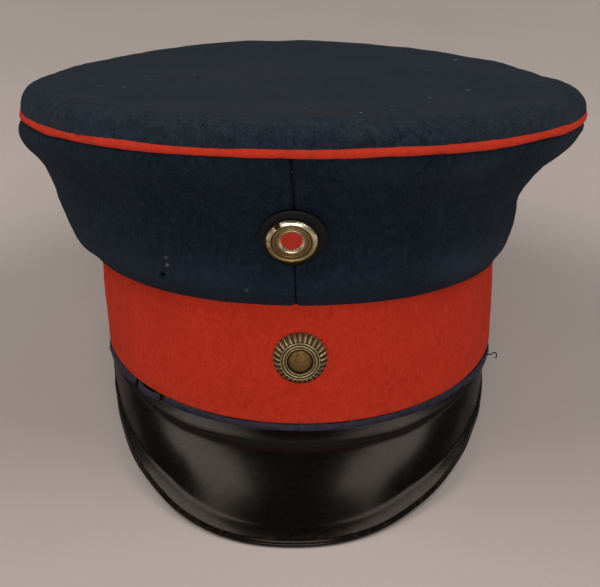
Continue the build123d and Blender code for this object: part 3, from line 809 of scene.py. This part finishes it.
# crease, then the lip turned out flatter than the body
LIP0 = len(rows_r)
put(root_r + 0.08 * lip, root_z - 0.055 * lip - 0.26 * k)
put(root_r + 0.18 * lip, root_z - 0.12 * lip - 0.34 * k)
put(root_r + 0.34 * lip, root_z - 0.22 * lip - 0.22 * k)
put(root_r + 0.55 * lip, root_z - 0.36 * lip - 0.08 * k)
put(root_r + 0.75 * lip, root_z - 0.50 * lip - 0.06 * k)
put(root_r + 0.90 * lip, root_z - 0.61 * lip - 0.16 * k)
for aa in np.radians([60, 30, 0, -30, -60, -90]):
    put(run - 0.55 * thick + 0.55 * thick * np.cos(aa), ez - 0.5 * thick + 0.5 * thick * np.sin(aa) - 0.06 * thick)
put(run - 0.35 * lip - 0.4 * thick, ez + 0.20 * lip - 1.00 * thick)
put(root_r - 0.30 * thick, root_z - 1.02 * thick)
for qq in (0.85, 0.65, 0.45, 0.25, 0.08):
    r = led + (root_r - led) * qq
    z = zl + (root_z - zl) * qq
    bulge = BULGE * k * np.sin(np.pi * qq ** 1.08)
    ang = np.arctan2(zl - root_z, root_r - led)
    put(r + (bulge - thick) * np.sin(ang), z + (bulge - thick) * np.cos(ang))
put(led * 0.3 - 0.6 * thick, zl + 0.3 * led - 0.9 * thick)
put(-1.0 - 0.5 * thick, -3.1 - 0.7 * thick)
put(-0.9 - 0.6 * thick, -0.6 * one)
RR, ZZ = np.stack(rows_r, 1), np.stack(rows_z, 1)
P = np.stack([A[:, None, 0] + D2[:, None, 0] * RR, A[:, None, 1] + D2[:, None, 1] * RR, ZZ], -1)
d = 0.05 * waves(P, 60, 51)
P[..., 2] += d * np.clip(RR / 6, 0, 1) * np.clip((run[:, None] - RR) / 3, 0, 1)
nvv = P.shape[1]
edge_at = np.zeros(P.shape[:2])
edge_at[:, LIP0 + 4:LIP0 + 14] = 1.0
crease = np.zeros(P.shape[:2])
crease[:, 6:14] = [0.4, 0.9, 1, 1, 1, 1, 0.8, 0.3]
visor = grid_piece("visor_patent", P, wrap_v=True, caps=True, flip=True, attrs={"edge": edge_at, "crease": crease})
sub = visor.modifiers.new("smooth", "SUBSURF")
sub.levels = sub.render_levels = 1
visor.data.materials.append(mat_visor)
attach(visor, "cap")
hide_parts("visor_shell")

# thin leather under the visor, a little below the shell's underside
keep = (np.abs(att) < 0.86)
rr, zz2 = [], []
for qq in np.linspace(0.10, 0.93, 14):
    r = led + (root_r - led) * qq
    z = zl + (root_z - zl) * qq
    bulge = BULGE * k * np.sin(np.pi * qq ** 1.08)
    ang = np.arctan2(zl - root_z, root_r - led)
    rr.append(r + (bulge - thick - 0.25) * np.sin(ang))
    zz2.append(z + (bulge - thick - 0.25) * np.cos(ang))
rr, zz2 = np.stack(rr, 1), np.stack(zz2, 1)
P2 = np.stack([A[:, None, 0] + D2[:, None, 0] * rr, A[:, None, 1] + D2[:, None, 1] * rr, zz2], -1)[keep]
under = shell_piece("visor_under_lining", P2, 0.6, flip_in=False)
under.data.materials.append(mat_under)
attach(under, "cap")
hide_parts("visor_lining")

# ------------------------------------------------------------------ welt, with the torn bit at one side


def welt_run(d0, d1, lift=0.0, drop=0.0, ends=0.6):
    n_ = max(8, int(abs(d1 - d0) * 3))
    ph = np.radians(np.linspace(d0, d1, n_))
    u = np.linspace(0, 1, n_)
    bow = np.sin(np.pi * u) ** 0.8
    cs = [(-0.95, -0.25), (-0.35, -0.10), (0.05, -0.45), (0.22, -1.2), (0.24, -2.2), (0.14, -3.5), (-0.25, -4.25), (-0.9, -4.3), (-1.15, -2.4), (-1.15, -0.9)]
    rows_ = []
    for off, z in cs:
        w = np.array([off] * n_) + lift * bow
        zz_ = np.array([z] * n_) - drop * bow - 0.9 * np.clip(np.cos(ph) * 1.6 - 0.4, 0, 1)
        x_, y_ = band_ring(ph, w)
        rows_.append(np.stack([x_, y_, zz_], -1))
    Q = np.stack(rows_, 1)
    Q += (0.10 * waves(Q, 20, 61) + 0.06 * waves(Q, 7, 62))[..., None] * np.array([0, -0.3, 1.0])
    return Q


def join_grids(name, grids, wrap_v=True):
    verts, faces, base = [], [], 0
    for Q in grids:
        nu_, nv_ = Q.shape[:2]
        verts.append(row(Q.reshape(-1, 3)))
        f_ = grid_faces(nu_, nv_, False, wrap_v, base)[:, ::-1].tolist()
        if wrap_v:
            f_ += [[base + k_ for k_ in range(nv_)], [base + (nu_ - 1) * nv_ + k_ for k_ in range(nv_)][::-1]]
        faces += f_
        base += nu_ * nv_
    ob = mesh_piece(name, np.concatenate(verts), faces)
    bm = bmesh.new()
    bm.from_mesh(ob.data)
    bmesh.ops.recalc_face_normals(bm, faces=bm.faces)
    bm.to_mesh(ob.data)
    bm.free()
    ob.data.polygons.foreach_set("use_smooth", np.ones(len(ob.data.polygons), dtype=bool))
    return ob


welt = join_grids("visor_welt_strip", [welt_run(-76, -52.5, lift=0.25, drop=0.5), welt_run(-50.6, -41.4, lift=0.75, drop=0.8), welt_run(-39.4, 52, drop=0.2), welt_run(52.6, 76, lift=0.35, drop=0.9)])
welt.data.materials.append(mat_welt)
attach(welt, "cap")
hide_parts("visor_welt")

# ------------------------------------------------------------------ cockades


def cockade(name, origin, normal, prof, ribs=None, n_=348):
    """Stamped disc: prof is (r, w, hollow, polish) from the outside back, over the face, to the middle."""
    prof = np.array([tuple(p) + (0,) * (4 - len(p)) for p in prof], float)
    seg_ = np.concatenate([[0], np.cumsum(np.hypot(np.diff(prof[:, 0]), np.diff(prof[:, 1])))])
    qs = np.unique(np.concatenate([seg_, np.linspace(0, seg_[-1], 110)]))
    r, w, h, p = (np.interp(qs, seg_, prof[:, j]) for j in range(4))
    t_ = np.linspace(0, 2 * math.pi, n_, endpoint=False)
    R_, T_ = np.meshgrid(r, t_)
    W_, H_, L_ = (np.broadcast_to(v, R_.shape).copy() for v in (w, h, p))
    R_ = R_.copy()
    if ribs:
        R_, W_, H_, L_ = ribs(R_, W_, H_, L_, T_)
    nrm = np.array(normal, float)
    nrm /= np.linalg.norm(nrm)
    xd = np.array([1.0, 0, 0])
    yd = np.cross(nrm, xd)
    P_ = np.array(origin) + xd * (R_ * np.cos(T_))[..., None] + yd * (R_ * np.sin(T_))[..., None] + nrm * W_[..., None]
    ob = grid_piece(name, P_, wrap_u=True, wrap_v=True, attrs={"hollow": np.clip(H_, 0, 1), "polish_and_highlight": np.clip(L_, 0, 1)})
    bm = bmesh.new()
    bm.from_mesh(ob.data)
    bmesh.ops.remove_doubles(bm, verts=bm.verts, dist=1e-7)
    bmesh.ops.recalc_face_normals(bm, faces=bm.faces)
    bm.to_mesh(ob.data)
    bm.free()
    ob.data.polygons.foreach_set("use_smooth", np.ones(len(ob.data.polygons), dtype=bool))
    return ob


UPC = (-3.0, -113.7, 76.8)
UPN = (0, -math.cos(math.radians(20)), -math.sin(math.radians(20)))
LOC = (0.4, -103.0, 26.5)
LON = (0, -1, 0)


def smoothpeak(T_, n_, sharp):
    return (0.5 + 0.5 * np.cos(T_ * n_)) ** sharp


def back_ribs(R_, W_, H_, L_, T_):
    g = smoothpeak(T_, 58, 1.0)
    m_ = np.clip((R_ - 9.9) / 0.5, 0, 1) * (W_ > 1.1)
    edge_ = np.clip((R_ - 12.2) / 0.4, 0, 1)
    return R_ + 0.14 * edge_ * (g - 0.5), W_ + 0.13 * m_ * (g - 0.6), H_, L_


def ring_notch(R_, W_, H_, L_, T_):
    a0 = math.radians(127)
    dt = (T_ - a0 + math.pi) % (2 * math.pi) - math.pi
    g = np.exp(-((dt / 0.115) ** 4)) * np.clip((R_ - 8.0) / 0.6, 0, 1)
    wob = 0.05 * np.sin(T_ * 3 + 1) + 0.04 * np.sin(T_ * 7) + 0.025 * np.sin(T_ * 17 + 2)
    worn = 0.5 + 0.5 * np.sin(T_ * 9 + 2.0 * np.sin(T_ * 4))
    # painted highlight: the bright gilt on the outer rings is weighted to the ring's upper side, where the lamps catch
    # the rolled edge
    side = 0.5 + 0.5 * np.cos(T_ - math.radians(75))
    return (R_ - 1.0 * g + wob * np.clip(R_ - 8.2, 0, 1), W_ - 1.5 * g * (W_ > 1.9), np.clip(H_ + 0.9 * g, 0, 1),
            np.clip(np.where(R_ < 5.3, L_, L_ * (0.22 + 0.95 * side - 0.35 * worn * (R_ > 7)) - g), 0, 1))


def low_ribs(R_, W_, H_, L_, T_):
    saw = ((T_ + 0.05) * 29 / (2 * math.pi)) % 1.0
    g = np.clip(1 - np.abs(saw - 0.5) / 0.30, 0, 1) ** 1.2
    m_ = np.clip((R_ - 7.55) / 0.25, 0, 1) * np.clip((10.6 - R_) / 0.3, 0, 1) * (W_ > 1.0)
    edge_ = np.clip((R_ - 9.9) / 0.4, 0, 1)
    out_ = 0.34 * m_ * (g - 0.35)
    worn = 0.5 + 0.5 * np.sin(T_ * 6 + 1.0)
    return R_ + 0.6 * out_ + 0.20 * edge_ * (g - 0.45), W_ + out_, np.clip(H_ + m_ * (0.65 - 1.1 * g), 0, 1), np.clip(L_ + m_ * g * (0.45 + 0.35 * worn), 0, 1)


backing = cockade("upper_cockade_backing_plate", (UPC[0] + 0.5, UPC[1], UPC[2] + 0.35), UPN,
                  [(1.25, 0.6), (11.6, 0.6), (12.25, 0.75), (12.45, 1.0), (12.25, 1.25), (11.5, 1.55), (10.2, 1.62), (9.0, 1.5), (1.25, 1.5)], back_ribs)
ring_ob = cockade("upper_cockade_gilt_ring", UPC, UPN,
                  [(4.25, 1.6, 1, 0), (9.0, 1.6, 0.5, 0), (9.3, 1.85, 0.2, 0.5), (9.4, 2.25, 0, 0.9), (9.30, 2.75, 0, 1), (8.95, 3.25, 0, 1), (8.4, 3.60, 0, 0.95), (7.95, 3.66, 0, 0.5), (7.55, 3.50, 0.15, 0.05),
                   (7.20, 3.18, 0.8, 0), (6.98, 3.06, 0.9, 0), (6.72, 3.14, 0.2, 0.1), (6.45, 3.18, 0.1, 0.12), (6.25, 3.00, 0.7, 0), (6.05, 2.94, 0.8, 0), (5.82, 3.06, 0.2, 0.1), (5.60, 3.06, 0.2, 0.1), (5.42, 2.88, 0.7, 0),
                   (5.30, 2.90, 0.4, 0.1), (5.12, 3.02, 0.1, 0.1), (4.90, 3.08, 0.1, 0.1), (4.66, 3.02, 0, 0.3), (4.34, 2.78, 0, 1), (4.06, 2.50, 0, 1), (3.86, 2.30, 0, 1), (3.84, 2.22, 0.1, 0.8), (4.1, 2.0, 0.5, 0)], ring_notch)
red_ob = cockade("upper_cockade_red_disc", UPC, UPN, [(0.02, 1.6), (4.15, 1.6), (4.2, 1.8), (4.15, 2.0), (3.7, 2.12), (2.0, 2.22), (0.02, 2.25)])
low_ring = cockade("lower_cockade_ribbed_ring", LOC, LON,
                   [(4.72, 0.6, 1), (9.8, 0.6, 0.4), (10.25, 0.8, 0.2, 0.2), (10.4, 1.05, 0, 0.3), (10.3, 1.5, 0, 0.1), (9.75, 2.5), (9.0, 3.5), (8.2, 4.4), (7.75, 4.75, 0.5), (7.58, 4.80, 0.9),
                    (7.42, 4.95, 0.2, 0.3), (7.22, 5.12, 0, 0.5), (7.02, 5.02, 0.2, 0.2), (6.86, 4.78, 1), (6.70, 4.76, 1), (6.52, 5.00, 0.3, 0.1), (6.32, 5.16, 0.0, 0.35), (6.05, 5.16, 0, 0.3), (5.85, 4.98, 0.4), (5.68, 4.80, 1),
                    (5.54, 4.82, 0.9), (5.38, 5.05, 0.1, 0.3), (5.20, 5.14, 0, 0.35), (5.02, 5.02, 0.1, 0.2), (4.88, 4.65, 0.8), (4.74, 4.2, 1), (4.72, 3.5, 1)], low_ribs)
low_dome = cockade("lower_cockade_dome", LOC, LON, [(0.02, 0.9), (4.6, 0.9, 1), (4.66, 2.0, 1), (4.64, 3.9, 1), (4.5, 4.12, 0.8), (4.2, 4.30, 0.3), (3.4, 4.46, 0.1), (1.8, 4.60, 0.05), (0.02, 4.64, 0.05)])
for ob, mat, body, node, slot in (
        (backing, mat_black, "upper_cockade", "upper_cockade_backing", "black_lacquer"),
        (ring_ob, mat_ring, "upper_cockade", "upper_cockade_ring", "pale_gilt"),
        (red_ob, mat_red, "upper_cockade", "upper_cockade_centre", "red_lacquer"),
        (low_ring, mat_bronze, "lower_cockade", "lower_cockade_ring", "bronzed_brass"),
        (low_dome, mat_dome, "lower_cockade", "lower_cockade_centre", "bronzed_dome")):
    ob.data.materials.append(mat)
    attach(ob, body)
    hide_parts(node)

# ------------------------------------------------------------------ inside: sweatband, linings, padding

nu = 480
phi = np.linspace(0, 2 * math.pi, nu, endpoint=False)
zz = np.linspace(0.3, 43.0, 34)
U, Z = np.meshgrid(phi, zz, indexing="ij")
off = cubic([0.3, 7, 14, 28, 43], [-3.4, -5.0, -6.2, -6.8, -6.9], Z)
x, y = band_ring(U, off)
P = np.stack([x, y, Z], -1)
n = normals_of(P, wrap_u=True)
d = (0.35 * waves(P, 60, 71) + 0.18 * waves(P, 24, 72)) * np.clip(Z / 20, 0, 1) * np.clip((Z - 4) / 10, 0, 1)
d = np.minimum(d, 0.35)
P = P + n * d[..., None]
sweat = shell_piece("sweatband_leather", P, 0.9, wrap_u=True)
sweat.data.materials.append(mat_sweat)
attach(sweat, "cap")
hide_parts("sweatband")


def stitches(name, centres, tangents, ups, length, radius, extra=None):
    """Short bowed stitches of thread, one closed tube each."""
    nu_, nv_ = 7, 6
    grids = []
    for c_, t_, u_ in zip(centres, tangents, ups):
        side_ = np.cross(t_, u_)
        q_ = np.linspace(-0.5, 0.5, nu_)
        line = c_ + np.outer(q_ * length, t_) + np.outer(0.9 * radius * (1 - (2 * q_) ** 2) - radius * 0.6, u_)
        rad = radius * np.sqrt(np.clip(1 - (2 * q_) ** 6, 0.05, 1))
        an = np.linspace(0, 2 * math.pi, nv_, endpoint=False)
        grids.append(line[:, None] + rad[:, None, None] * (np.cos(an)[None, :, None] * side_ + np.sin(an)[None, :, None] * u_))
    for g_ in extra or []:
        grids.append(g_)
    return join_grids(name, grids)


def on_band(n_, off, z, phi_a=0.0, phi_b=2 * math.pi, inward=True, endpoint=False):
    ph = np.linspace(phi_a, phi_b, n_, endpoint=endpoint)
    x_, y_ = band_ring(ph, off)
    x2, y2 = band_ring(ph + 1e-3, off)
    c_ = np.stack([x_, y_, np.full(n_, z)], -1)
    t_ = np.stack([x2 - x_, y2 - y_, 0 * x_], -1)
    t_ /= np.linalg.norm(t_, axis=1, keepdims=True)
    outw = np.cross(t_, [0, 0, 1.0])
    return c_, t_, (-outw if inward else outw)


c_, t_, u_ = on_band(150, -5.05, 3.2)
sweat_st = stitches("sweatband_stitches", c_, t_, u_, 2.4, 0.28)
sweat_st.data.materials.append(mat_thread_light)
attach(sweat_st, "cap")

# side lining and crown lining, sewn in and a little slack
LIN = np.array([(38.0, 79.9, 98.7, 98.5, 10.0, 0.0), (46.5, 80.1, 99.0, 98.7, 10.0, 0.0), (58.0, 86.0, 99.0, 100.5, 5.0, 0.040), (70.0, 92.0, 101.0, 104.0, 2.0, 0.075),
                (84.0, 97.4, 105.4, 107.2, 0.0, 0.095), (98.0, 101.4, 110.0, 110.5, 0.0, 0.103)])
h = np.linspace(38.0, 98.0, 60)
nu = 540
phi = np.linspace(0, 2 * math.pi, nu, endpoint=False)
U, H = np.meshgrid(phi, h, indexing="ij")
a_, b_, c2, y0_, k_ = (cubic(LIN[:, 0], LIN[:, j], H) for j in (1, 2, 3, 4, 5))
x, y = ring(U, a_, a_, -b_, c2, y0_)
P = np.stack([x, y, H - k_ * y], -1)
n = normals_of(P, wrap_u=True)
pleat = np.sin(U * 46 + 1.3 * np.sin(U * 5)) * 0.45 + 0.5 * waves(P, 30, 73)
fade = np.clip((H - 46) / 14, 0, 1)
P = P - n * (np.abs(pleat) * fade)[..., None]
slin = shell_piece("side_lining_cloth", P, 0.4, wrap_u=True)
slin.data.materials.append(mat_lining)
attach(slin, "cap")
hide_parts("side_lining")

rr_ = np.linspace(0, 1, 60)[1:][::-1]
U, R = np.meshgrid(phi, rr_, indexing="ij")
x, y = ring(U, 101.2 * R, 101.2 * R, -109.8 * R, 110.3 * R, 0)
sag = -2.4 * (1 - R**2)
puck = 0.55 * np.sin(U * 38 + 0.8 * np.sin(U * 7)) * np.clip((R - 0.55) / 0.45, 0, 1) ** 1.5
P = np.stack([x, y, 98.6 - 0.103 * y + sag + puck * 0.6], -1)
P[..., 2] += 0.35 * waves(P, 45, 74) * (1 - R**4)
clin = shell_piece("crown_lining_cloth", P, 0.4, wrap_u=True, fan=True)
clin.data.materials.append(mat_lining)
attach(clin, "cap")
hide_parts("crown_lining")

# wadding roll under the rim, tied down every few centimetres
nu, nv = 480, 20
phi = np.linspace(0, 2 * math.pi, nu, endpoint=False)
t = np.linspace(0, 2 * math.pi, nv, endpoint=False)
x, y = ring(phi, 109.0, 109.0, -118.4, 118.4, 0)
C = np.stack([x, y, 99.0 - RIM_K * y], -1)
out = np.stack([np.sin(phi) / 109.0, -np.cos(phi) / 118.4, 0 * phi], -1)
out /= np.linalg.norm(out, axis=1, keepdims=True)
tuft = 1 - 0.12 * (0.5 + 0.5 * np.cos(phi * 28)) ** 8 + 0.02 * waves(C, 12, 75)
P = C[:, None] + (out[:, None] * (np.sign(np.cos(t)) * np.abs(np.cos(t)) ** 0.8)[None, :, None] * 3.1 + upv * (np.sign(np.sin(t)) * np.abs(np.sin(t)) ** 0.8)[None, :, None] * 3.0) * tuft[:, None, None]
pad = grid_piece("rim_wadding_roll", P, wrap_u=True, wrap_v=True)
pad.data.materials.append(mat_wadding)
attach(pad, "cap")
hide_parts("rim_padding")

# ------------------------------------------------------------------ loose end of thread at the visor seam


def tube(points, radius, n_=40, sides=8):
    pts = np.array(points, float)
    sg = np.concatenate([[0], np.cumsum(np.linalg.norm(np.diff(pts, axis=0), axis=1))])
    q_ = np.linspace(0, sg[-1], n_)
    line = np.stack([cubic(sg, pts[:, j], q_) for j in range(3)], -1)
    tg = np.gradient(line, axis=0)
    tg /= np.linalg.norm(tg, axis=1, keepdims=True)
    ref = np.array([0.3, 0.2, 0.93])
    a1 = np.cross(tg, ref)
    a1 /= np.linalg.norm(a1, axis=1, keepdims=True)
    a2 = np.cross(tg, a1)
    an = np.linspace(0, 2 * math.pi, sides, endpoint=False)
    return line[:, None] + radius * (np.cos(an)[None, :, None] * a1[:, None] + np.sin(an)[None, :, None] * a2[:, None])


loose = tube([(79.6, -24.5, -2.2), (80.8, -25.5, -2.5), (82.4, -25.9, -1.9), (83.6, -26.6, -1.2), (84.1, -27.4, -2.3), (83.5, -27.9, -3.2)], 0.26)
vst = join_grids("visor_seam_thread_end", [loose])
vst.data.materials.append(mat_thread)
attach(vst, "cap")

# ------------------------------------------------------------------ CAD pieces that keep their shape
for node, mat in (("band_stiffener", mat_buckram), ("crown_hoop", mat_steel), ("front_stay", mat_steel), ("upper_cockade_pin", mat_pin),
                  ("upper_cockade_washer", mat_pin), ("lower_cockade_pin", mat_pin), ("lower_cockade_washer", mat_pin)):
    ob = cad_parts[node]
    ob = bpy.data.objects[ob] if isinstance(ob, str) else ob
    if not ob.material_slots:
        ob.data.materials.append(mat)
    for sl in ob.material_slots:
        sl.material = mat

# ------------------------------------------------------------------ floor and light


def floor_material():
    M = Mat("studio_floor")
    c1 = M.noise(0.004, 3.0, 0.5)
    c2 = M.noise(0.35, 5.0, 0.6)
    k_ = M.mix(M.ramp(c1, [(0.3, 0.0), (0.7, 1.0)]), (0.415, 0.358, 0.330), (0.445, 0.386, 0.358))
    k_ = M.mix(M.math("MULTIPLY", M.ramp(c2, [(0.4, 0.0), (0.7, 1.0)]), 0.10), k_, (0.36, 0.310, 0.288))
    M.to(k_, "Base Color")
    M.put(rough=0.75, spec=0.25)
    return M.m


floor = mesh_piece("studio_floor", [(-6, -6, -0.0003), (6, -6, -0.0003), (6, 6, -0.0003), (-6, 6, -0.0003)], [[0, 1, 2, 3]], smooth=False)
floor.data.materials.append(floor_material())


def softbox(name, loc, target, size, watts, color=(1, 1, 1)):
    ld = bpy.data.lights.new(name, "AREA")
    ld.shape = "RECTANGLE"
    ld.size, ld.size_y = size
    ld.energy = watts
    ld.color = color
    ob = bpy.data.objects.new(name, ld)
    bpy.context.scene.collection.objects.link(ob)
    loc_, tgt = np.array(loc, float), np.array(target, float)
    z = (loc_ - tgt) / np.linalg.norm(loc_ - tgt)
    x = np.cross([0, 1.0, 0], z)
    x /= np.linalg.norm(x)
    y = np.cross(z, x)
    mm = Matrix.Identity(4)
    for c in range(3):
        mm[c][0], mm[c][1], mm[c][2], mm[c][3] = float(x[c]), float(y[c]), float(z[c]), float(loc_[c])
    ob.matrix_world = mm
    return ob


softbox("key_left", (-0.80, -0.02, 1.05), (0, -0.02, 0.05), (0.80, 1.0), 10.8, (1.0, 0.975, 0.95))
softbox("key_right", (0.80, -0.02, 1.05), (0, -0.02, 0.05), (0.80, 1.0), 10.0, (1.0, 0.975, 0.95))
softbox("fill_front", (0.0, -2.15, 0.50), (0, 0, 0.06), (1.7, 0.75), 27.0, (1.0, 0.985, 0.97))

w = bpy.data.worlds.new("studio")
bpy.context.scene.world = w
w.use_nodes = True
w.node_tree.nodes["Background"].inputs["Color"].default_value = (0.98, 0.99, 1.0, 1)
w.node_tree.nodes["Background"].inputs["Strength"].default_value = 0.10
